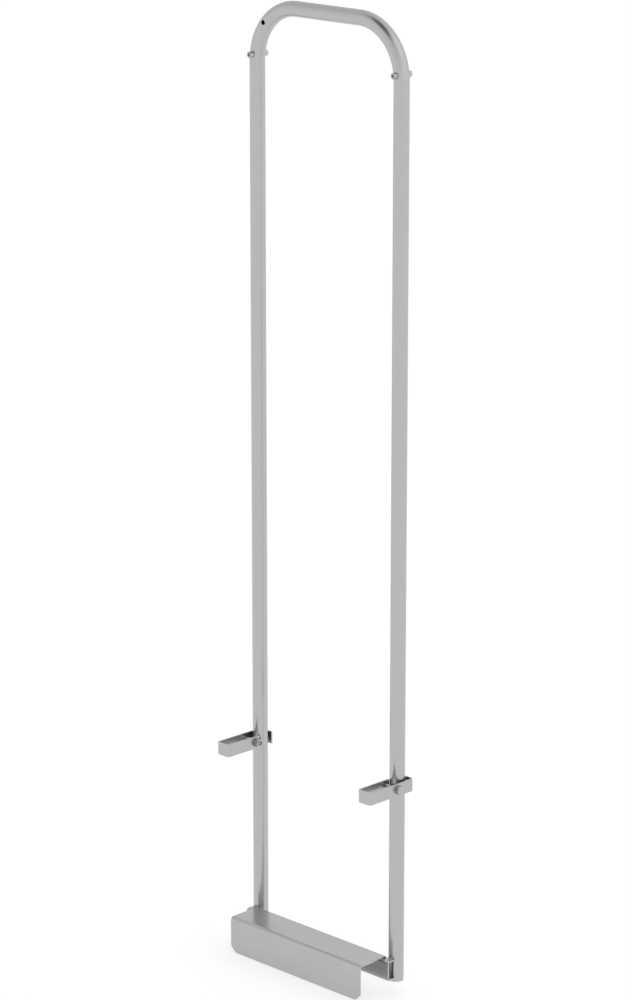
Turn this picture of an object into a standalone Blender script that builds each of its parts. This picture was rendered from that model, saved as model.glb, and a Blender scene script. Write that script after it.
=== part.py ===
"""Hook-on grab frame: a bent tube with a hook plate and two strap clamps that slide on its legs.

Metres, +Z up, +X to the frame's right as seen from the front, +Y to the back.
The origin is the middle of the hook seat: the underside of the hook plate, halfway across the hook gap.
"""

import math

import bmesh
import bpy
from mathutils import Matrix, Vector

# Clearances
GAP = 0.0003                    # between pieces that touch
BOLT_PLAY = 0.0003              # around a bolt in its hole, on the radius

# Tube
TUBE_DIAMETER = 0.025
TUBE_WALL = 0.002
LEG_SPACING = 0.311             # between the leg axes
BEND_RADIUS = 0.0875            # of the tube's centre line
BAR_HEIGHT = 1.502              # centre line of the top bar above the hook seat
LEG_DROP = 0.0395               # leg ends below the hook seat
VENT_DIAMETER = 0.008
VENT_ANGLE = math.radians(45)   # round the left bend, from its leg

# Hook plate and crossbar channel, bent from the same sheet
SHEET = 0.003
HOOK_GAP = 0.0472               # from the channel's web to the flange's inner face
HOOK_LENGTH = 0.2965
HOOK_DROP = 0.058               # flange below the seat
HOOK_OVERLAP = 0.010            # of the plate over the channel
HOOK_BEND = 0.006               # outer radius of the bend
FLANGE_CORNER = 0.010           # cut off at 45 degrees
CHANNEL_REACH = 0.007           # beyond each leg axis
CHANNEL_HEIGHT = 0.0345
CHANNEL_DEPTH = 0.0137
CHANNEL_BEND = 0.004            # outer radius of its two bends

# Stop bolts, M6 socket screws from the front, at the start of each bend
STOP_RISE = 0.0095              # bolt above the end of the straight leg
STOP_SHANK = 0.006
STOP_HEAD_DIAMETER = 0.010
STOP_HEAD_HEIGHT = 0.006
STOP_SOCKET = 0.005             # across the flats of the key's socket
STOP_SOCKET_DEPTH = 0.003
STOP_NUT_FLATS = 0.010
STOP_NUT_HEIGHT = 0.006
STOP_TAIL = 0.0012              # bolt end beyond its nut

# Strap clamps, each closed by an M8 bolt in front of the tube
STRAP = 0.003
STRAP_HEIGHT = 0.0208
STRAP_BEND = 0.006              # outer radius
STRAP_CORNER = 0.002            # at the free end of the inner arm
RAIL_WIDTH = 0.0222             # between the arms: the ladder rail's thickness
RAIL_DEPTH = 0.0576             # from the bolt to the front wall: the ladder rail's depth
ARM_PLAY = 0.0034               # outer arm to tube
BACK_PLAY = 0.0036              # back wall to tube
CLAMP_HEIGHT = 0.293            # strap's middle above the hook seat
CLAMP_SHANK = 0.008
CLAMP_HEX_FLATS = 0.013         # head and nut
CLAMP_HEAD_HEIGHT = 0.0053
CLAMP_NUT_HEIGHT = 0.0068
CLAMP_TAIL = 0.002              # bolt end beyond its nut

# Facets
TUBE_SIDES = 32
BEND_STEPS = 12
SHEET_STEPS = 4
CORNER_STEPS = 6
ROUND_SIDES = 24
VENT_SIDES = 16
SMOOTH_ANGLE = math.radians(30)

# Colour and roughness of the bare steel
SATIN = ((0.55, 0.55, 0.54), 0.35)
BRIGHT = ((0.50, 0.50, 0.49), 0.25)

# Worked out from the sizes above
TUBE_RADIUS = TUBE_DIAMETER / 2
LEG_X = LEG_SPACING / 2
WEB_Y = HOOK_GAP / 2
LEG_Y = WEB_Y + CHANNEL_DEPTH + GAP + TUBE_RADIUS
BEND_Z = BAR_HEIGHT - BEND_RADIUS
STOP_Z = BEND_Z + STOP_RISE
STOP_X = LEG_X - BEND_RADIUS + math.sqrt(BEND_RADIUS ** 2 - STOP_RISE ** 2)
ARM_OUT = TUBE_RADIUS + ARM_PLAY                     # outer arm's inner face, outboard of the leg axis
ARM_IN = RAIL_WIDTH - ARM_OUT                        # inner arm's inner face, inboard of the leg axis
NUT_OUT = ARM_IN + STRAP + GAP                       # clamp nut's outer face, inboard of the leg axis
HEX_CORNER = CLAMP_HEX_FLATS / 2 / math.cos(math.pi / 6)
BESIDE_NUT = math.sqrt(max(TUBE_RADIUS ** 2 - NUT_OUT ** 2, 0))       # how far the tube reaches forward there
BOLT_Y = LEG_Y - GAP - max(TUBE_RADIUS + CLAMP_SHANK / 2, BESIDE_NUT + HEX_CORNER)
STRAP_FRONT = BOLT_Y - CLAMP_SHANK / 2 - RAIL_DEPTH
ARM_END = LEG_Y - math.sqrt(TUBE_RADIUS ** 2 - ARM_IN ** 2) - GAP     # inner arm stops at the tube
STRAP_BACK = LEG_Y + TUBE_RADIUS + BACK_PLAY
CHANNEL_LENGTH = LEG_SPACING + 2 * CHANNEL_REACH
SIDES = (("left", -1), ("right", 1))


def make_material(name, finish):
    colour, roughness = finish
    material = bpy.data.materials.new(name)
    material.use_nodes = True
    shader = material.node_tree.nodes["Principled BSDF"]
    shader.inputs["Base Color"].default_value = (*colour, 1)
    shader.inputs["Roughness"].default_value = roughness
    shader.inputs["Metallic"].default_value = 1
    return material


def make_object(name, bm, finish=SATIN):
    """Turn the mesh into an object with its own material."""
    bm.normal_update()
    bmesh.ops.recalc_face_normals(bm, faces=bm.faces)
    mesh = bpy.data.meshes.new(name)
    bm.to_mesh(mesh)
    bm.free()
    mesh.shade_smooth()
    mesh.set_sharp_from_angle(angle=SMOOTH_ANGLE)
    mesh.materials.append(make_material(name, finish))
    thing = bpy.data.objects.new(name, mesh)
    bpy.context.collection.objects.link(thing)
    return thing


def cut(thing, tool, operation="DIFFERENCE"):
    """Cut the tool out of the thing, or join it on, and hide the tool."""
    modifier = thing.modifiers.new(tool.name, "BOOLEAN")
    modifier.operation = operation
    modifier.object = tool
    modifier.solver = "EXACT"
    tool.hide_render = True
    tool.display_type = "WIRE"


def move_origin(thing, place):
    """Put the origin at the place and leave the shape where it is."""
    thing.data.transform(Matrix.Translation(-Vector(place)))
    thing.location = place


def prism(radius, start, end, sides=ROUND_SIDES):
    """A prism or cylinder between two points on a line along X or Y."""
    start, end = Vector(start), Vector(end)
    bm = bmesh.new()
    bmesh.ops.create_cone(bm, cap_ends=True, segments=sides, radius1=radius, radius2=radius,
                          depth=(end - start).length)
    aim = (end - start).to_track_quat("Z", "X").to_matrix().to_4x4()
    bm.transform(Matrix.Translation((start + end) / 2) @ aim)
    return bm


def skin(bm, radius, sides, stations):
    """A wall through circles at the stations, whose Z runs along it. Gives the first and last loop."""
    loops = []
    for station in stations:
        made = bmesh.ops.create_circle(bm, segments=sides, radius=radius, matrix=station)
        loops.append(made["verts"])
    for near, far in zip(loops, loops[1:]):
        for first in range(sides):
            second = (first + 1) % sides
            bm.faces.new((near[first], near[second], far[second], far[first]))
    return loops[0], loops[-1]


def hollow(radius, hole_radius, stations, sides=ROUND_SIDES, hole_sides=ROUND_SIDES):
    """A tube along the stations. Its hole has a whole number of sides to each outer one."""
    bm = bmesh.new()
    outer_ends = skin(bm, radius, sides, stations)
    inner_ends = skin(bm, hole_radius, hole_sides, stations)
    share = hole_sides // sides
    for outer, inner in zip(outer_ends, inner_ends):
        for index, corner in enumerate(outer):
            arc = [inner[(index * share + step) % hole_sides] for step in range(share + 1)]
            bm.faces.new([corner, *arc, outer[(index + 1) % sides]])
    return bm


def ring(radius, hole_radius, start, end, sides=ROUND_SIDES):
    """A nut between two points."""
    start, end = Vector(start), Vector(end)
    aim = (end - start).to_track_quat("Z", "X").to_matrix().to_4x4()
    return hollow(radius, hole_radius, [Matrix.Translation(place) @ aim for place in (start, end)], sides)


def round_corners(corners, radius, steps=SHEET_STEPS):
    """A path through the corners with each inner corner turned into an arc of the radius."""
    path = [Vector(corners[0])]
    for before, corner, after in zip(corners, corners[1:], corners[2:]):
        corner = Vector(corner)
        arrive = (corner - Vector(before)).normalized()
        leave = (Vector(after) - corner).normalized()
        side = 1 if arrive.x * leave.y - arrive.y * leave.x > 0 else -1
        turn = arrive.angle(leave)
        centre = corner - arrive * radius * math.tan(turn / 2) + Vector((-arrive.y, arrive.x)) * side * radius
        spoke = Vector((arrive.y, -arrive.x)) * side * radius
        for step in range(steps + 1):
            angle = side * turn * step / steps
            path.append(centre + Matrix.Rotation(angle, 2) @ spoke)
    path.append(Vector(corners[-1]))
    return path


def bent_sheet(corners, outer_radius, thickness, width, place):
    """A sheet bent along a path of its middle plane and as wide as stated, as a bmesh.

    place(a, b, c) gives the point for a path point (a, b) at c across the width."""
    path = round_corners(corners, outer_radius - thickness / 2)
    left, right = [], []
    for index, point in enumerate(path):
        before = path[max(index - 1, 0)]
        after = path[min(index + 1, len(path) - 1)]
        along = (after - before).normalized()
        across = Vector((-along.y, along.x)) * thickness / 2
        left.append(point + across)
        right.append(point - across)
    outline = left + right[::-1]
    bm = bmesh.new()
    rows = []
    for side in (-width / 2, width / 2):
        rows.append([bm.verts.new(place(point.x, point.y, side)) for point in outline])
    count = len(path)
    for first in range(len(outline)):
        second = (first + 1) % len(outline)
        bm.faces.new((rows[0][first], rows[0][second], rows[1][second], rows[1][first]))
    for row in rows:
        for step in range(count - 1):
            mirror = len(outline) - 1 - step
            bm.faces.new((row[step], row[step + 1], row[mirror - 1], row[mirror]))
    return bm


def bevel_edges(bm, wanted, offset, segments=CORNER_STEPS):
    """Round the edges for which wanted(edge) is true, or cut them straight with one segment."""
    bm.normal_update()
    bmesh.ops.recalc_face_normals(bm, faces=bm.faces)
    edges = [edge for edge in bm.edges if wanted(edge)]
    bmesh.ops.bevel(bm, geom=edges, offset=offset, offset_type="OFFSET", segments=segments,
                    profile=0.5, affect="EDGES")


def make_grab_tube():
    """One tube: up the left leg, round the bend, along the bar and down the right leg."""
    path = [(-LEG_X, -LEG_DROP, 0)]
    for side, sign in SIDES:
        for step in range(BEND_STEPS + 1):
            turn = math.pi / 2 * (step / BEND_STEPS + (sign > 0))
            path.append((sign * (LEG_X - BEND_RADIUS) - BEND_RADIUS * math.cos(turn),
                         BEND_Z + BEND_RADIUS * math.sin(turn), turn))
    path.append((LEG_X, -LEG_DROP, math.pi))
    stations = [Matrix.Translation((x, LEG_Y, z)) @ Matrix.Rotation(turn, 4, "Y") for x, z, turn in path]
    bm = hollow(TUBE_RADIUS, TUBE_RADIUS - TUBE_WALL, stations, TUBE_SIDES, TUBE_SIDES)
    tube = make_object("grab_tube", bm)
    for side, sign in SIDES:
        hole = prism(STOP_SHANK / 2 + BOLT_PLAY,
                     (sign * STOP_X, LEG_Y - TUBE_DIAMETER, STOP_Z),
                     (sign * STOP_X, LEG_Y + TUBE_DIAMETER, STOP_Z))
        cut(tube, make_object(side + "_stop_hole", hole))
    vent_x = -LEG_X + BEND_RADIUS * (1 - math.cos(VENT_ANGLE))
    vent_z = BEND_Z + BEND_RADIUS * math.sin(VENT_ANGLE)
    vent = prism(VENT_DIAMETER / 2, (vent_x, LEG_Y - TUBE_DIAMETER, vent_z), (vent_x, LEG_Y, vent_z),
                 VENT_SIDES)
    cut(tube, make_object("vent_hole", vent))


def make_hook_plate():
    """A level plate over the channel with its front edge turned down."""
    flange_y = -WEB_Y - SHEET / 2
    corners = ((WEB_Y + HOOK_OVERLAP, SHEET / 2), (flange_y, SHEET / 2), (flange_y, -HOOK_DROP))
    bm = bent_sheet(corners, HOOK_BEND, SHEET, HOOK_LENGTH, lambda a, b, c: Vector((c, a, b)))

    def is_lower_corner(edge):
        return all(vert.co.z < -HOOK_DROP + GAP for vert in edge.verts) and edge.calc_length() < SHEET + GAP

    bevel_edges(bm, is_lower_corner, FLANGE_CORNER, 1)
    make_object("hook_plate", bm)


def make_crossbar_channel():
    """The web faces the hook gap and the two flanges run back to the legs."""
    top = -GAP - SHEET / 2
    bottom = -GAP - CHANNEL_HEIGHT + SHEET / 2
    web = WEB_Y + SHEET / 2
    tips = WEB_Y + CHANNEL_DEPTH
    corners = ((tips, top), (web, top), (web, bottom), (tips, bottom))
    bm = bent_sheet(corners, CHANNEL_BEND, SHEET, CHANNEL_LENGTH, lambda a, b, c: Vector((c, a, b)))
    make_object("crossbar_channel", bm)


def corner_radius(flats):
    return flats / 2 / math.cos(math.pi / 6)


def make_stop_bolt(side, sign):
    """A socket screw through the tube with its head at the front and its nut at the back."""
    x = sign * STOP_X
    front = LEG_Y - TUBE_RADIUS - GAP
    back = LEG_Y + TUBE_RADIUS + GAP
    face = front - STOP_HEAD_HEIGHT
    tail = back + STOP_NUT_HEIGHT + STOP_TAIL
    head = prism(STOP_HEAD_DIAMETER / 2, (x, front, STOP_Z), (x, face, STOP_Z))
    bolt = make_object(side + "_stop_bolt", head, BRIGHT)
    shank = prism(STOP_SHANK / 2, (x, tail, STOP_Z), (x, front - STOP_HEAD_HEIGHT / 3, STOP_Z))
    cut(bolt, make_object(side + "_stop_shank", shank), "UNION")
    socket = prism(corner_radius(STOP_SOCKET), (x, face + STOP_SOCKET_DEPTH, STOP_Z),
                   (x, face - STOP_SOCKET_DEPTH, STOP_Z), 6)
    cut(bolt, make_object(side + "_stop_socket", socket))
    nut = ring(corner_radius(STOP_NUT_FLATS), STOP_SHANK / 2 + BOLT_PLAY, (x, back, STOP_Z),
               (x, back + STOP_NUT_HEIGHT, STOP_Z), 6)
    make_object(side + "_stop_nut", nut, BRIGHT)


def make_clamp(side, sign):
    """A strap round the leg and the ladder rail, with its bolt and nut."""
    origin = (sign * LEG_X, LEG_Y, CLAMP_HEIGHT)

    def at(out, y, lift=0.0):
        """A point out from the leg axis, away from the frame's middle, and above the strap's middle."""
        return Vector((sign * (LEG_X + out), y, CLAMP_HEIGHT + lift))

    # strap: inner arm, front wall, outer arm and back wall, drawn on its middle plane
    inner, outer = -ARM_IN - STRAP / 2, ARM_OUT + STRAP / 2
    front, back = STRAP_FRONT - STRAP / 2, STRAP_BACK + STRAP / 2
    corners = ((inner, ARM_END), (inner, front), (outer, front), (outer, back), (-ARM_IN - STRAP, back))
    bm = bent_sheet(corners, STRAP_BEND, STRAP, STRAP_HEIGHT, at)

    def is_arm_corner(edge):
        middle = (edge.verts[0].co + edge.verts[1].co) / 2
        return abs(middle.y - ARM_END) < GAP and edge.calc_length() < STRAP + GAP \
            and abs(edge.verts[0].co.z - edge.verts[1].co.z) < GAP

    bevel_edges(bm, is_arm_corner, STRAP_CORNER)
    strap = make_object(side + "_clamp_strap", bm)
    hole = CLAMP_SHANK / 2 + BOLT_PLAY
    bore = prism(hole, at(-ARM_IN - 2 * STRAP, BOLT_Y), at(ARM_OUT + 2 * STRAP, BOLT_Y))
    cut(strap, make_object(side + "_strap_bore", bore))
    move_origin(strap, origin)

    # bolt: hexagon head on the outside and nut on the inside
    head_out = ARM_OUT + STRAP + GAP
    head = prism(HEX_CORNER, at(head_out, BOLT_Y), at(head_out + CLAMP_HEAD_HEIGHT, BOLT_Y), 6)
    bolt = make_object(side + "_clamp_bolt", head, BRIGHT)
    shank = prism(CLAMP_SHANK / 2, at(-NUT_OUT - CLAMP_NUT_HEIGHT - CLAMP_TAIL, BOLT_Y),
                  at(head_out + CLAMP_HEAD_HEIGHT / 2, BOLT_Y))
    cut(bolt, make_object(side + "_clamp_shank", shank), "UNION")
    move_origin(bolt, origin)
    nut = ring(HEX_CORNER, hole, at(-NUT_OUT, BOLT_Y), at(-NUT_OUT - CLAMP_NUT_HEIGHT, BOLT_Y), 6)
    move_origin(make_object(side + "_clamp_nut", nut, BRIGHT), at(-NUT_OUT, BOLT_Y))


for thing in list(bpy.data.objects):
    bpy.data.objects.remove(thing)
make_grab_tube()
make_hook_plate()
make_crossbar_channel()
for side_name, side_sign in SIDES:
    make_stop_bolt(side_name, side_sign)
    make_clamp(side_name, side_sign)
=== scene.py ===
import math

import bmesh
import bpy
from mathutils import Matrix, Vector


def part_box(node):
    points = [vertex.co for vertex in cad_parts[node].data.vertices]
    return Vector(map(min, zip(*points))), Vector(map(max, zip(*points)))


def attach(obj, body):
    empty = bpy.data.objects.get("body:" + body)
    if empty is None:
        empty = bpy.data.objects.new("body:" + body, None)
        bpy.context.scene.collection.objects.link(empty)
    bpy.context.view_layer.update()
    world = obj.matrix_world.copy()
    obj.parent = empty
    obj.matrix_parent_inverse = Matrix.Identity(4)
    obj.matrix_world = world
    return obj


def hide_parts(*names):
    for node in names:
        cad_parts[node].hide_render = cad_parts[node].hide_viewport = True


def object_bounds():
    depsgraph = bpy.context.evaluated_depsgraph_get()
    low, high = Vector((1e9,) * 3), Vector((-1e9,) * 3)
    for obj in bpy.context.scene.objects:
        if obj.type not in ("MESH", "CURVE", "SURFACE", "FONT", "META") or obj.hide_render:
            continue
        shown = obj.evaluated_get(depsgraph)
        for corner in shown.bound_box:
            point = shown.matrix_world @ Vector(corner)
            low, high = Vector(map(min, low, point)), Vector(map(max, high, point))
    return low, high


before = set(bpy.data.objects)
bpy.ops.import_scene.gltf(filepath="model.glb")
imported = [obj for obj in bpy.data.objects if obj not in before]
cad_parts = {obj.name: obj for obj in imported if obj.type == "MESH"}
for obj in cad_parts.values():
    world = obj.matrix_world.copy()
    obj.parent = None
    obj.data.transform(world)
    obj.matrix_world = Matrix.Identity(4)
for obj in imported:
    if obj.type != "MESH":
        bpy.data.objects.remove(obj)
cadBox = [list(corner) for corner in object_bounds()]
print("frame loaded:", len(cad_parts), "nodes")

millimetre = 0.001
nearness = 0.00001          # how close a point counts as being at a place
levelMargin = 0.0001        # how far past a level a point still counts as being on it
cornerReach = 1.1           # how far up the points of a cut corner are looked for, against its size
justUnder = 0.999           # just short of the full size
facing = 0.9                # how squarely a face must look along the axis
mergeDistance = 0.000002
threadMerge = 0.000001
smoothAngle = math.radians(28)
cornerAngle = 50            # degrees: bevels only real corners, not the sides of a round piece
sides = (("left", -1), ("right", 1))


# sizes read from the frame, so that the fine pieces sit where the plain ones do
def middleOf(node):
    low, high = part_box(node)
    return (low + high) / 2


tubeLow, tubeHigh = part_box("grab_tube")
hookLow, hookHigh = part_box("hook_plate")
channelLow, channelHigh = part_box("crossbar_channel")
tubeRadius = (tubeHigh.y - tubeLow.y) / 2
legX = tubeHigh.x - tubeRadius
legY = (tubeLow.y + tubeHigh.y) / 2
barZ = tubeHigh.z - tubeRadius


# shader helpers
class Wire:  # a node's output that can be used in sums
    def __init__(self, build, socket):
        self.build = build
        self.socket = socket

    def maths(self, operation, other, swapped=False):
        first, second = (other, self) if swapped else (self, other)
        return self.build.node("ShaderNodeMath", {"operation": operation}, {0: first, 1: second})

    def __add__(self, other):
        return self.maths("ADD", other)

    def __radd__(self, other):
        return self.maths("ADD", other, True)

    def __sub__(self, other):
        return self.maths("SUBTRACT", other)

    def __rsub__(self, other):
        return self.maths("SUBTRACT", other, True)

    def __mul__(self, other):
        return self.maths("MULTIPLY", other)


class Build:  # adds nodes to one node tree
    def __init__(self, tree):
        self.tree = tree

    def node(self, kind, settings=None, inputs=None, output=0):
        made = self.tree.nodes.new(kind)
        for key, value in (settings or {}).items():
            setattr(made, key, value)
        for key, value in (inputs or {}).items():
            self.plug(made.inputs[key], value)
        return Wire(self, made.outputs[output])

    def plug(self, socket, value):
        if isinstance(value, Wire):
            self.tree.links.new(value.socket, socket)
        else:
            socket.default_value = value


# shared by every steel look: shares of fine and broad lines, and sizes against the look's own scales
finish = {"fineShare": 0.6, "broadShare": 0.4, "broader": 7, "smudgeScale": 4.3, "smudgeSoftness": 0.6}


def steelMaterial(name, look, coordinates="Object"):
    material = bpy.data.materials.new(name)
    material.use_nodes = True
    shader = material.node_tree.nodes["Principled BSDF"]
    build = Build(material.node_tree)
    place = build.node("ShaderNodeTexCoord", output=coordinates)

    def noise(scales, size, detail, roughness=0.5):
        stretched = build.node("ShaderNodeMapping", inputs={"Vector": place, "Scale": scales})
        return build.node("ShaderNodeTexNoise", inputs={
            "Vector": stretched, "Scale": size, "Detail": detail, "Roughness": roughness})

    fine, broad = look["grainScale"], look["grainScale"] / finish["broader"]
    grain = noise(look["grain"], fine, 3)                           # fine rolled or ground lines
    streaks = noise(look["grain"], broad, 2)                        # wider, fainter lines
    clouds = noise((1, 1, 1), look["cloudScale"], 3)                # handling marks and uneven finish
    smudges = noise((1, 1, 1), look["cloudScale"] * finish["smudgeScale"], 2, finish["smudgeSoftness"])
    lines = (grain - 0.5) * finish["fineShare"] + (streaks - 0.5) * finish["broadShare"]
    tone = lines * look["lineTone"] + (clouds - 0.5) * look["cloudTone"] + 0.5
    low = [channel * (1 - look["contrast"]) for channel in look["colour"]]
    high = [channel * (1 + look["contrast"]) for channel in look["colour"]]
    colour = build.node("ShaderNodeMix", {"data_type": "RGBA"},
                        {0: tone, 6: (*low, 1), 7: (*high, 1)}, output=2)
    build.plug(shader.inputs["Base Color"], colour)
    build.plug(shader.inputs["Roughness"], look["roughness"] + lines * look["lineRoughness"]
               + (smudges - 0.5) * look["smudgeRoughness"])
    shader.inputs["Metallic"].default_value = 1
    bump = build.node("ShaderNodeBump", inputs={
        "Height": lines, "Strength": look["bump"], "Distance": look["bumpDepth"]})
    build.plug(shader.inputs["Normal"], bump)
    return material


tubeLook = {
    "colour": (0.474, 0.467, 0.461), "contrast": 0.10, "roughness": 0.24,
    "grain": (1, 0.02, 1), "grainScale": 900, "cloudScale": 9,
    "lineTone": 0.9, "cloudTone": 0.5, "lineRoughness": 0.10, "smudgeRoughness": 0.05,
    "bump": 0.05, "bumpDepth": 0.0002}
sheetLook = {
    "colour": (0.468, 0.461, 0.455), "contrast": 0.10, "roughness": 0.24,
    "grain": (0.03, 1, 1), "grainScale": 1400, "cloudScale": 11,
    "lineTone": 0.9, "cloudTone": 0.5, "lineRoughness": 0.10, "smudgeRoughness": 0.06,
    "bump": 0.05, "bumpDepth": 0.0002}
strapLook = {
    "colour": (0.472, 0.465, 0.459), "contrast": 0.10, "roughness": 0.24,
    "grain": (0.04, 0.04, 1), "grainScale": 1600, "cloudScale": 22,
    "lineTone": 0.9, "cloudTone": 0.5, "lineRoughness": 0.10, "smudgeRoughness": 0.06,
    "bump": 0.05, "bumpDepth": 0.0002}
fastenerLook = {
    "colour": (0.47, 0.466, 0.459), "contrast": 0.12, "roughness": 0.22,
    "grain": (1, 1, 1), "grainScale": 2600, "cloudScale": 120,
    "lineTone": 0.5, "cloudTone": 0.6, "lineRoughness": 0.12, "smudgeRoughness": 0.08,
    "bump": 0.06, "bumpDepth": 0.0001}
weldLook = {
    "colour": (0.42, 0.405, 0.385), "contrast": 0.2, "roughness": 0.30,
    "grain": (1, 1, 1), "grainScale": 1500, "cloudScale": 260,
    "lineTone": 0.4, "cloudTone": 1.2, "lineRoughness": 0.10, "smudgeRoughness": 0.12,
    "bump": 0.08, "bumpDepth": 0.0001}
tubeSteel = steelMaterial("tubeSteel", tubeLook, "UV")
sheetSteel = steelMaterial("sheetSteel", sheetLook)
strapSteel = steelMaterial("strapSteel", strapLook)
fastenerSteel = steelMaterial("fastenerSteel", fastenerLook)
weldSteel = steelMaterial("weldSteel", weldLook)
print("materials made")


# modelling helpers
def deselect():
    if bpy.context.mode != "OBJECT":
        bpy.ops.object.mode_set(mode="OBJECT")
    bpy.ops.object.select_all(action="DESELECT")


def named(name):  # names the primitive just added and opens it for editing with nothing selected
    piece = bpy.context.active_object
    piece.name = name
    piece.data.name = name
    bpy.ops.object.mode_set(mode="EDIT")
    bpy.ops.mesh.select_all(action="DESELECT")
    return piece


def pick(piece, kind, wanted):  # selects the vertices, edges or faces that wanted() accepts
    bpy.ops.mesh.select_mode(type=kind)
    bpy.ops.mesh.select_all(action="DESELECT")
    shape = bmesh.from_edit_mesh(piece.data)
    parts = {"VERT": shape.verts, "EDGE": shape.edges, "FACE": shape.faces}[kind]
    for part in parts:
        if wanted(part):
            part.select_set(True)
    shape.select_flush_mode()
    bmesh.update_edit_mesh(piece.data)


def turnEdges(angle, centre, axis, steps):  # the spin operator counts its angle the other way
    bpy.ops.mesh.spin(steps=steps, angle=-angle, center=centre, axis=axis)


def closeEditing(piece):
    bpy.ops.mesh.select_mode(type="VERT")
    bpy.ops.mesh.select_all(action="SELECT")
    bpy.ops.mesh.remove_doubles(threshold=mergeDistance)
    bpy.ops.mesh.normals_make_consistent(inside=False)
    bpy.ops.object.mode_set(mode="OBJECT")
    return piece


def modify(piece, kind, **settings):  # adds a modifier and applies it
    deselect()
    piece.select_set(True)
    bpy.context.view_layer.objects.active = piece
    modifier = piece.modifiers.new(kind.lower(), kind)
    for key, value in settings.items():
        setattr(modifier, key, value)
    bpy.ops.object.modifier_apply(modifier=modifier.name)


def combine(piece, tool, operation="DIFFERENCE"):
    modify(piece, "BOOLEAN", object=tool, operation=operation, solver="EXACT")
    bpy.data.objects.remove(tool)


def settle(piece):  # moves the place from the object into its mesh
    deselect()
    piece.select_set(True)
    bpy.context.view_layer.objects.active = piece
    bpy.ops.object.transform_apply(location=True, rotation=True, scale=True)


def softenEdges(piece, width, segments=2, angle=32):
    modify(piece, "BEVEL", width=width, segments=segments, limit_method="ANGLE",
           angle_limit=math.radians(angle), harden_normals=False, use_clamp_overlap=True)


def dress(piece, material, body, slot, *nodes):  # smooth shading, material and its place in the frame
    deselect()
    piece.select_set(True)
    bpy.context.view_layer.objects.active = piece
    bpy.ops.object.shade_smooth_by_angle(angle=smoothAngle)
    modify(piece, "WEIGHTED_NORMAL", mode="FACE_AREA", weight=50, keep_sharp=True)
    piece.data.materials.clear()
    piece.data.materials.append(material)
    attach(piece, body)
    if nodes:
        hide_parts(*nodes)


def aimed(base, top):  # from the Z axis at the origin to the line between two points
    base, top = Vector(base), Vector(top)
    return Matrix.Translation(base) @ (top - base).to_track_quat("Z", "X").to_matrix().to_4x4()


def rod(name, radius, start, end, vertices=48, chamfer=0.0):  # a cylinder, chamfered at its end
    length = (Vector(end) - Vector(start)).length
    deselect()
    bpy.ops.mesh.primitive_cylinder_add(vertices=vertices, radius=radius, depth=length,
                                        location=(0, 0, length / 2))
    tool = bpy.context.active_object
    settle(tool)
    named(name)
    if chamfer:
        pick(tool, "EDGE", lambda edge: all(vert.co.z > length - chamfer / 2 for vert in edge.verts))
        bpy.ops.mesh.bevel(offset=chamfer, segments=1, affect="EDGES")
    bpy.ops.object.mode_set(mode="OBJECT")
    tool.data.transform(aimed(start, end))
    return tool


# the bent tube
tube = {"wall": 0.002, "sides": 96, "bendSteps": 56, "edge": 0.0003,
        "boltHole": 0.0033, "cutter": 0.02, "ventHole": 0.004, "ventAngle": math.radians(45),
        "bendRadius": 0.0875}


def makeTube():
    radius = tube["bendRadius"]
    bendZ = barZ - radius
    legLength = bendZ - tubeLow.z
    deselect()
    bpy.ops.mesh.primitive_circle_add(vertices=tube["sides"], radius=tubeRadius,
                                      location=(-legX, legY, tubeLow.z))
    piece = bpy.context.active_object
    settle(piece)
    piece = named("bentTube")
    bpy.ops.mesh.select_all(action="SELECT")

    def push(offset):
        bpy.ops.mesh.extrude_region_move(TRANSFORM_OT_translate={"value": offset})

    def bend(centreX):
        turnEdges(math.pi / 2, (centreX, legY, bendZ), (0, 1, 0), tube["bendSteps"])

    push((0, 0, legLength))
    bend(radius - legX)
    push((2 * (legX - radius), 0, 0))
    bend(legX - radius)
    push((0, 0, -legLength))
    closeEditing(piece)
    modify(piece, "SOLIDIFY", thickness=tube["wall"], offset=-1)
    reach = Vector((0, tube["cutter"], 0))
    for side, _ in sides:
        bolt = middleOf(side + "_stop_bolt")
        bolt.y = legY
        combine(piece, rod("hole", tube["boltHole"], bolt - reach, bolt + reach))
    turn = tube["ventAngle"]
    vent = Vector((radius - legX - radius * math.cos(turn), legY, bendZ + radius * math.sin(turn)))
    combine(piece, rod("hole", tube["ventHole"], vent - reach, vent))
    softenEdges(piece, tube["edge"], angle=cornerAngle)
    lengthsAlong(piece, radius, bendZ)
    dress(piece, tubeSteel, "frame", "tube_steel", "grab_tube")


def lengthsAlong(piece, radius, bendZ):  # UV: distance round the tube and distance along it, in metres
    layer = piece.data.uv_layers.new(name="alongTube")
    halfBar = legX - radius
    for polygon in piece.data.polygons:
        for corner in polygon.loop_indices:
            point = piece.data.vertices[piece.data.loops[corner].vertex_index].co
            sign = 1 if point.x > 0 else -1
            out = abs(point.x) - halfBar
            up = point.z - bendZ
            if up < 0:
                along = halfBar + radius * math.pi / 2 - up
                ring = math.atan2(out - radius, point.y - legY)
            elif out < 0:
                along = halfBar + out
                ring = math.atan2(up - radius, point.y - legY)
            else:
                along = halfBar + radius * math.atan2(out, up)
                ring = math.atan2(math.hypot(out, up) - radius, point.y - legY)
            layer.data[corner].uv = (abs(ring) * tubeRadius, sign * along)


makeTube()
print("tube made")


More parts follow.
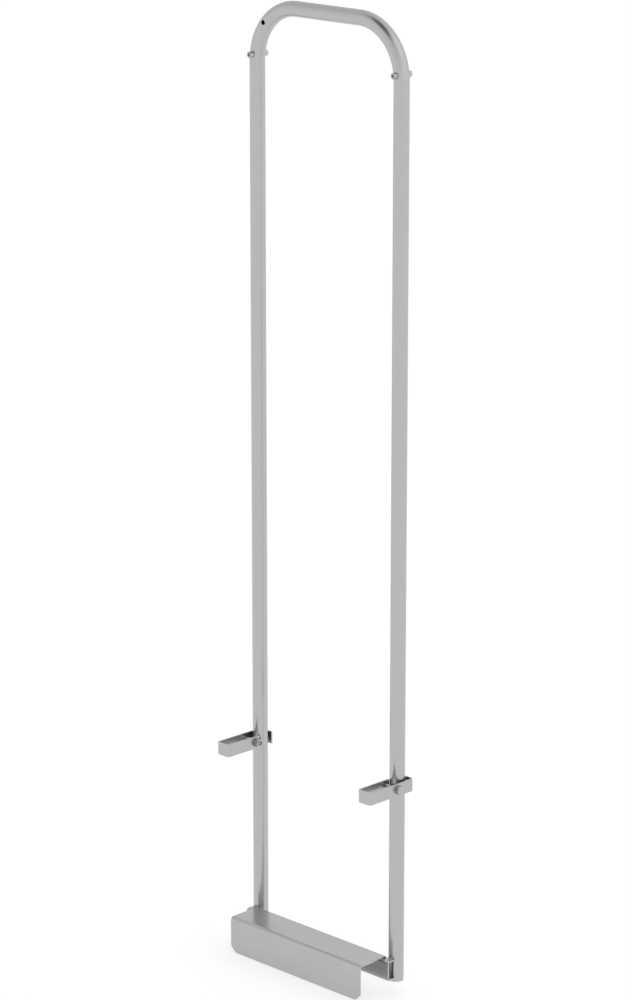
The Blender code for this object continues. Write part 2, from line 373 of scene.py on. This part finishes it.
# folded sheet: hook plate, channel and straps
def foldSheet(name, width, start, direction, runs, toWorld):
    # a strip without thickness, seen on edge as a path on a page and folded at each run's end
    deselect()
    bpy.ops.mesh.primitive_plane_add(size=1, location=(0, 0, 0))
    piece = named(name)
    shape = bmesh.from_edit_mesh(piece.data)
    here = Vector(start)
    heading = Vector(direction)
    ahead = here + heading * runs[0][0]
    for vert in shape.verts:
        place = here if vert.co.y < 0 else ahead
        vert.co = Vector((place.x, place.y, width / 2 if vert.co.x > 0 else -width / 2))
    bmesh.update_edit_mesh(piece.data)
    here = ahead
    pick(piece, "EDGE", lambda edge: all((vert.co.xy - here).length < nearness for vert in edge.verts))
    for (length, turn, radius, steps), following in zip(runs, runs[1:]):
        side = 1 if turn > 0 else -1
        centre = here + Vector((-heading.y, heading.x)) * side * radius
        turnEdges(turn, (centre.x, centre.y, 0), (0, 0, 1), steps)
        spoke = Matrix.Rotation(turn, 2) @ (here - centre)
        here = centre + spoke
        heading = Matrix.Rotation(turn, 2) @ heading
        step = heading * following[0]
        bpy.ops.mesh.extrude_region_move(TRANSFORM_OT_translate={"value": (step.x, step.y, 0)})
        here = here + step
    closeEditing(piece)
    piece.data.transform(toWorld)
    return piece


def roundCorners(piece, radius, wanted, segments):  # on a strip that has no thickness yet
    deselect()
    piece.select_set(True)
    bpy.context.view_layer.objects.active = piece
    bpy.ops.object.mode_set(mode="EDIT")
    pick(piece, "VERT", wanted)
    bpy.ops.mesh.bevel(offset=radius, segments=segments, affect="VERTICES")
    bpy.ops.object.mode_set(mode="OBJECT")


# hook plate and channel
hook = {"sheet": 0.003, "bend": 0.0045, "steps": 12, "corner": 0.010, "cornerEnds": 0.002,
        "edge": 0.00035}
channel = {"sheet": 0.003, "bend": 0.0025, "steps": 10, "edge": 0.00035}
fromPage = Matrix(((0, 0, 1, 0), (1, 0, 0, 0), (0, 1, 0, 0), (0, 0, 0, 1)))    # (a, b, c) to (y, z, x)


def makeHook():
    radius = hook["bend"]
    half = hook["sheet"] / 2
    top = hookHigh.z - half
    front = hookLow.y + half
    piece = foldSheet("hookSheet", hookHigh.x - hookLow.x, (hookHigh.y, top), (-1, 0), (
        (hookHigh.y - front - radius, math.pi / 2, radius, hook["steps"]),
        (top - radius - hookLow.z, 0, 0, 0)), fromPage)
    cornerTop = hookLow.z + hook["corner"] * cornerReach
    roundCorners(piece, hook["corner"], lambda vert: vert.co.z < hookLow.z + levelMargin, 1)
    roundCorners(piece, hook["cornerEnds"], lambda vert: vert.co.z < cornerTop, 4)
    modify(piece, "SOLIDIFY", thickness=hook["sheet"], offset=0)
    softenEdges(piece, hook["edge"])
    dress(piece, sheetSteel, "frame", "sheet_steel", "hook_plate")


def makeChannel():
    radius = channel["bend"]
    half = channel["sheet"] / 2
    top = channelHigh.z - half
    bottom = channelLow.z + half
    web = channelLow.y + half
    run = channelHigh.y - web - radius
    piece = foldSheet("channelSheet", channelHigh.x - channelLow.x, (channelHigh.y, top), (-1, 0), (
        (run, math.pi / 2, radius, channel["steps"]),
        (top - bottom - 2 * radius, math.pi / 2, radius, channel["steps"]),
        (run, 0, 0, 0)), fromPage)
    modify(piece, "SOLIDIFY", thickness=channel["sheet"], offset=0)
    softenEdges(piece, channel["edge"])
    dress(piece, sheetSteel, "frame", "sheet_steel", "crossbar_channel")


makeHook()
makeChannel()
print("hook plate and channel made")


# fasteners: sizes of a thread are shares of its pitch, those of a hexagon shares of its flats
thread = {"crest": 0.12, "flank": 0.38, "depth": 0.55, "steps": 32, "start": 1.5, "spareTurns": 3,
          "chamfer": 0.6, "play": 0.0001}
hexagon = {"rise": 0.05, "face": 0.96, "cone": 64, "coneClear": 1.002, "sink": 0.0004}


def threadedRod(base, top, radius, pitch):  # one pitch of outline, screwed up the Z axis, cut to length
    length = (Vector(top) - Vector(base)).length
    depth = thread["depth"] * pitch
    deselect()
    bpy.ops.mesh.primitive_plane_add(size=pitch)
    piece = named("thread")
    pick(piece, "VERT", lambda vert: vert.co.x < 0 or vert.co.y < 0)
    bpy.ops.mesh.delete(type="VERT")
    bpy.ops.mesh.select_all(action="SELECT")
    bpy.ops.transform.translate(value=(radius - pitch / 2, -pitch / 2, 0))
    crest, flank = thread["crest"], thread["flank"]
    for out, up in ((0, crest), (-depth, flank), (0, crest), (depth, flank)):
        bpy.ops.mesh.extrude_vertices_move(TRANSFORM_OT_translate={"value": (out, 0, up * pitch)})
    bpy.ops.object.mode_set(mode="OBJECT")
    modify(piece, "SCREW", angle=math.tau, screw_offset=pitch,
           iterations=math.ceil(length / pitch) + thread["spareTurns"], steps=thread["steps"],
           render_steps=thread["steps"], use_merge_vertices=True, merge_threshold=threadMerge)
    bpy.ops.object.mode_set(mode="EDIT")
    bpy.ops.mesh.select_all(action="SELECT")
    bpy.ops.mesh.remove_doubles(threshold=mergeDistance)
    start = thread["start"] * pitch
    for level, inner in ((start, True), (start + length, False)):
        bpy.ops.mesh.select_all(action="SELECT")
        bpy.ops.mesh.bisect(plane_co=(0, 0, level), plane_no=(0, 0, 1), use_fill=True,
                            clear_inner=inner, clear_outer=not inner)
    closeEditing(piece)
    piece.data.transform(aimed(base, top) @ Matrix.Translation((0, 0, -start)))
    tip = rod("tip", radius + pitch, base, top, chamfer=pitch * (1 + thread["chamfer"]))
    combine(piece, tip, "INTERSECT")
    return piece


def addShank(head, look, start, tip):  # joins a plain shank and a threaded end to a bolt's head
    start, tip = Vector(start), Vector(tip)
    along = (tip - start).normalized()
    threadStart = tip - along * look["threaded"]
    combine(head, rod("shank", look["radius"], start, threadStart + along * millimetre / 2), "UNION")
    combine(head, threadedRod(threadStart, tip, look["radius"], look["pitch"]), "UNION")


def hexPiece(name, flats, base, top, bothEnds):  # a hexagon whose corners are turned off at its ends
    height = (Vector(top) - Vector(base)).length
    rise = hexagon["rise"] * flats
    corner = flats / 2 / math.cos(math.pi / 6)
    outside = corner * hexagon["coneClear"]
    share = flats / 2 * hexagon["face"] / outside
    deselect()
    bpy.ops.mesh.primitive_cylinder_add(vertices=hexagon["cone"], radius=outside, depth=height,
                                        location=(0, 0, height / 2))
    cone = bpy.context.active_object
    settle(cone)
    named("cone")
    for level, way in ((height, 1), (0, -1))[:2 if bothEnds else 1]:
        pick(cone, "FACE", lambda face: face.normal.z * way > facing)
        bpy.ops.transform.translate(value=(0, 0, -way * rise))
        bpy.ops.mesh.extrude_region_move(TRANSFORM_OT_translate={"value": (0, 0, way * rise)})
        bpy.ops.transform.resize(value=(share, share, 1), center_override=(0, 0, level))
    closeEditing(cone)
    piece = rod(name, corner, (0, 0, 0), (0, 0, height), 6)
    combine(piece, cone, "INTERSECT")
    piece.data.transform(aimed(base, top))
    return piece


def makeNut(name, flats, radius, base, top, body, node):  # with its hole countersunk at both ends
    base, top = Vector(base), Vector(top)
    along = (top - base).normalized()
    hole = radius + thread["play"]
    sink = hexagon["sink"]
    nut = hexPiece(name, flats, base, top, True)
    combine(nut, rod("bore", hole, base - along * millimetre, top + along * millimetre))
    for face, inward in ((base, along), (top, -along)):
        combine(nut, rod("sink", hole + sink, face - inward * millimetre, face + inward * sink,
                         chamfer=sink * justUnder))
    dress(nut, fastenerSteel, body, "fastener_steel", node)


stopBolt = {"radius": 0.003, "pitch": 0.001, "threaded": 0.016, "head": 0.006, "edge": 0.0005,
            "ridges": 36, "ridgeDepth": 0.975, "socket": 0.005, "socketDepth": 0.003}


def makeStopBolt(side):
    boltLow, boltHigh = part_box(side + "_stop_bolt")
    nutLow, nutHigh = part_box(side + "_stop_nut")
    centre = middleOf(side + "_stop_bolt")
    radius = (boltHigh.x - boltLow.x) / 2

    def at(y):
        return Vector((centre.x, y, centre.z))

    seat = boltLow.y + stopBolt["head"]
    facets = stopBolt["ridges"] * 2
    head = rod(side + "StopBolt", radius, (0, 0, 0), (0, 0, stopBolt["head"]), facets)
    bpy.ops.object.mode_set(mode="EDIT")
    pick(head, "EDGE", lambda edge: all(vert.co.z > stopBolt["head"] / 2 for vert in edge.verts))
    bpy.ops.mesh.bevel(offset=stopBolt["edge"], segments=3, affect="EDGES")
    pick(head, "VERT", lambda vert: vert.co.xy.length > radius * justUnder
         and round(math.atan2(vert.co.y, vert.co.x) / math.tau * facets) % 2 == 1)
    groove = stopBolt["ridgeDepth"]
    bpy.ops.transform.resize(value=(groove, groove, 1), center_override=(0, 0, 0))
    bpy.ops.object.mode_set(mode="OBJECT")
    head.data.transform(aimed(at(seat), at(boltLow.y)))
    corner = stopBolt["socket"] / 2 / math.cos(math.pi / 6)
    combine(head, rod("socket", corner, at(boltLow.y - millimetre),
                      at(boltLow.y + stopBolt["socketDepth"]), 6))
    addShank(head, stopBolt, at(seat - millimetre), at(boltHigh.y))
    dress(head, fastenerSteel, "frame", "fastener_steel", side + "_stop_bolt")
    flats = min(nutHigh.x - nutLow.x, nutHigh.z - nutLow.z)
    makeNut(side + "StopNut", flats, stopBolt["radius"], at(nutLow.y), at(nutHigh.y), "frame",
            side + "_stop_nut")


for side, _ in sides:
    makeStopBolt(side)
print("stop bolts made")


# clamps
strap = {"sheet": 0.003, "bend": 0.0045, "steps": 12, "edge": 0.00035, "corner": 0.002,
         "boltHole": 0.0043, "play": 0.0003}
clampBolt = {"radius": 0.004, "pitch": 0.00125, "threaded": 0.020, "head": 0.0053}


def makeClamp(side, sign):
    body = side + "_clamp"
    strapLow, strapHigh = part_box(body + "_strap")
    boltLow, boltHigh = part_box(body + "_bolt")
    nutLow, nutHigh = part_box(body + "_nut")
    boltY = (boltLow.y + boltHigh.y) / 2
    half = strap["sheet"] / 2
    radius = strap["bend"]
    height = strapHigh.z - strapLow.z
    centre = (strapLow.z + strapHigh.z) / 2
    # the middle of each arm, measured out from the leg
    inboard = min(abs(strapLow.x), abs(strapHigh.x)) - legX + half
    outboard = max(abs(strapLow.x), abs(strapHigh.x)) - legX - half
    front = strapLow.y + half
    back = strapHigh.y - half
    armEnd = legY - math.sqrt(tubeRadius ** 2 - (inboard + half) ** 2) - strap["play"]

    def at(out):
        return Vector((sign * (legX + out), boltY, centre))

    toWorld = Matrix(((sign, 0, 0, sign * legX), (0, 1, 0, 0), (0, 0, 1, centre), (0, 0, 0, 1)))
    piece = foldSheet(side + "Strap", height, (inboard, armEnd), (0, -1), (
        (armEnd - front - radius, math.pi / 2, radius, strap["steps"]),
        (outboard - inboard - 2 * radius, math.pi / 2, radius, strap["steps"]),
        (back - front - 2 * radius, math.pi / 2, radius, strap["steps"]),
        (outboard - inboard - radius + half, 0, 0, 0)), toWorld)
    roundCorners(piece, strap["corner"], lambda vert: abs(vert.co.y - armEnd) < strap["play"]
                 and abs(vert.co.x) < legX, 8)
    modify(piece, "SOLIDIFY", thickness=strap["sheet"], offset=0)
    for arm in (inboard, outboard):
        ends = at(arm - strap["sheet"]), at(arm + strap["sheet"])
        combine(piece, rod("hole", strap["boltHole"], *ends))
    softenEdges(piece, strap["edge"], angle=cornerAngle)
    dress(piece, strapSteel, body, "strap_steel", body + "_strap")

    tip = min(abs(boltLow.x), abs(boltHigh.x)) - legX
    crown = max(abs(boltLow.x), abs(boltHigh.x)) - legX
    seat = crown - clampBolt["head"]
    flats = min(boltHigh.y - boltLow.y, boltHigh.z - boltLow.z)
    bolt = hexPiece(side + "ClampBolt", flats, at(seat), at(crown), False)
    addShank(bolt, clampBolt, at(seat + millimetre), at(tip))
    dress(bolt, fastenerSteel, body, "fastener_steel", body + "_bolt")
    ends = sorted((abs(nutLow.x) - legX, abs(nutHigh.x) - legX))
    makeNut(side + "ClampNut", flats, clampBolt["radius"], at(ends[1]), at(ends[0]), body + "_nut",
            body + "_nut")


for side, sign in sides:
    makeClamp(side, sign)
print("clamps made")


# weld beads: plate to channel, and each channel flange's tip to the legs
bead = {"radius": 0.0012, "ripple": 0.0016, "swell": 1.16, "sides": 14, "stitch": 0.026,
        "stitches": 4, "legRun": 0.013, "sink": 0.0003}


def weldBead(name, start, end):
    length = (Vector(end) - Vector(start)).length
    ripples = round(length / bead["ripple"])
    step = length / ripples / 2
    deselect()
    bpy.ops.mesh.primitive_circle_add(vertices=bead["sides"], radius=bead["radius"] / 2,
                                      fill_type="NGON")
    piece = named(name)
    bpy.ops.mesh.select_all(action="SELECT")
    grow = 2 / bead["swell"]
    for index in range(2 * ripples):
        if index == 2 * ripples - 1:
            grow = 0.5
        bpy.ops.mesh.extrude_region_move(TRANSFORM_OT_translate={"value": (0, 0, step)})
        bpy.ops.transform.resize(value=(grow, grow, 1), center_override=(0, 0, (index + 1) * step))
        grow = bead["swell"] if index % 2 == 0 else 1 / bead["swell"]
    closeEditing(piece)
    piece.data.transform(aimed(start, end))
    dress(piece, weldSteel, "frame", "sheet_steel")


plateEdge = Vector((0, hookHigh.y + bead["sink"], channelHigh.z + bead["sink"]))
spacing = (hookHigh.x - hookLow.x - bead["stitch"]) / (bead["stitches"] - 1)
for index in range(bead["stitches"]):
    left = hookLow.x + index * spacing
    weldBead("plateWeld" + str(index + 1), plateEdge + Vector((left, 0, 0)),
             plateEdge + Vector((left + bead["stitch"], 0, 0)))
for side, sign in sides:
    for level, z in (("Upper", channelHigh.z - bead["sink"]), ("Lower", channelLow.z + bead["sink"])):
        middle = Vector((sign * legX, channelHigh.y, z))
        reach = Vector((bead["legRun"] / 2, 0, 0))
        weldBead(side + level + "Weld", middle - reach, middle + reach)
print("weld beads made")


# studio: pale floor, soft dome and camera
studio = {"floorDrop": 0.002, "floorSize": 60, "floorColour": (0.40, 0.40, 0.40), "floorRoughness": 0.9,
          "floorSpecular": 0.1, "floorGlow": 0.68, "dome": 1.0}
# each lobe: azimuth from the front towards +X, elevation, full and faded angle, change of brightness
lobes = ((4, 66, 10, 30, -0.68), (32, 60, 14, 66, -0.16), (-95, 40, 12, 52, -0.20),
         (98, 52, 6, 32, 0.20), (102, 20, 20, 62, 0.14))


def makeFloor():
    deselect()
    bpy.ops.mesh.primitive_plane_add(size=studio["floorSize"],
                                      location=(0, 0, cadBox[0][2] - studio["floorDrop"]))
    floor = bpy.context.active_object
    floor.name = "floor"
    settle(floor)
    material = bpy.data.materials.new("paleFloor")
    material.use_nodes = True
    shader = material.node_tree.nodes["Principled BSDF"]
    shader.inputs["Base Color"].default_value = (*studio["floorColour"], 1)
    shader.inputs["Roughness"].default_value = studio["floorRoughness"]
    shader.inputs["Specular IOR Level"].default_value = studio["floorSpecular"]
    shader.inputs["Emission Color"].default_value = (1, 1, 1, 1)
    shader.inputs["Emission Strength"].default_value = studio["floorGlow"]
    floor.data.materials.append(material)


def direction(azimuth, elevation):
    across, up = math.radians(azimuth), math.radians(elevation)
    return Vector((math.sin(across) * math.cos(up), -math.cos(across) * math.cos(up), math.sin(up)))


def makeDome():
    world = bpy.data.worlds.new("studioDome")
    bpy.context.scene.world = world
    world.use_nodes = True
    build = Build(world.node_tree)
    toSky = build.node("ShaderNodeTexCoord", output="Generated")
    light = studio["dome"]
    for azimuth, elevation, full, faded, change in lobes:
        near = build.node("ShaderNodeVectorMath", {"operation": "DOT_PRODUCT"},
                          {0: toSky, 1: direction(azimuth, elevation)}, output="Value")
        mask = build.node("ShaderNodeMapRange", {"interpolation_type": "SMOOTHSTEP"},
                          {"Value": near, "From Min": math.cos(math.radians(faded)),
                           "From Max": math.cos(math.radians(full)), "To Min": 0, "To Max": change})
        light = mask + light
    seen = build.node("ShaderNodeLightPath", output="Is Camera Ray")
    light = light * (1 - seen) + seen * studio["dome"]
    background = world.node_tree.nodes["Background"]
    background.inputs["Color"].default_value = (1, 1, 1, 1)
    build.plug(background.inputs["Strength"], light)


view = {"azimuth": 44.853, "pitch": 15.49, "distance": 5.6605, "lens": 128.66, "sensor": 36,
        "target": (-0.0132, 0.0370, 0.7310)}


def makeCamera():
    back = direction(view["azimuth"], view["pitch"])
    camera = bpy.data.objects.new("camera", bpy.data.cameras.new("camera"))
    bpy.context.scene.collection.objects.link(camera)
    camera.data.lens = view["lens"]
    camera.data.sensor_width = view["sensor"]
    camera.location = Vector(view["target"]) + back * view["distance"]
    camera.rotation_euler = back.to_track_quat("Z", "Y").to_euler()
    bpy.context.scene.camera = camera


makeFloor()
makeDome()
makeCamera()
bpy.context.scene.view_settings.view_transform = "Standard"
print("studio made")
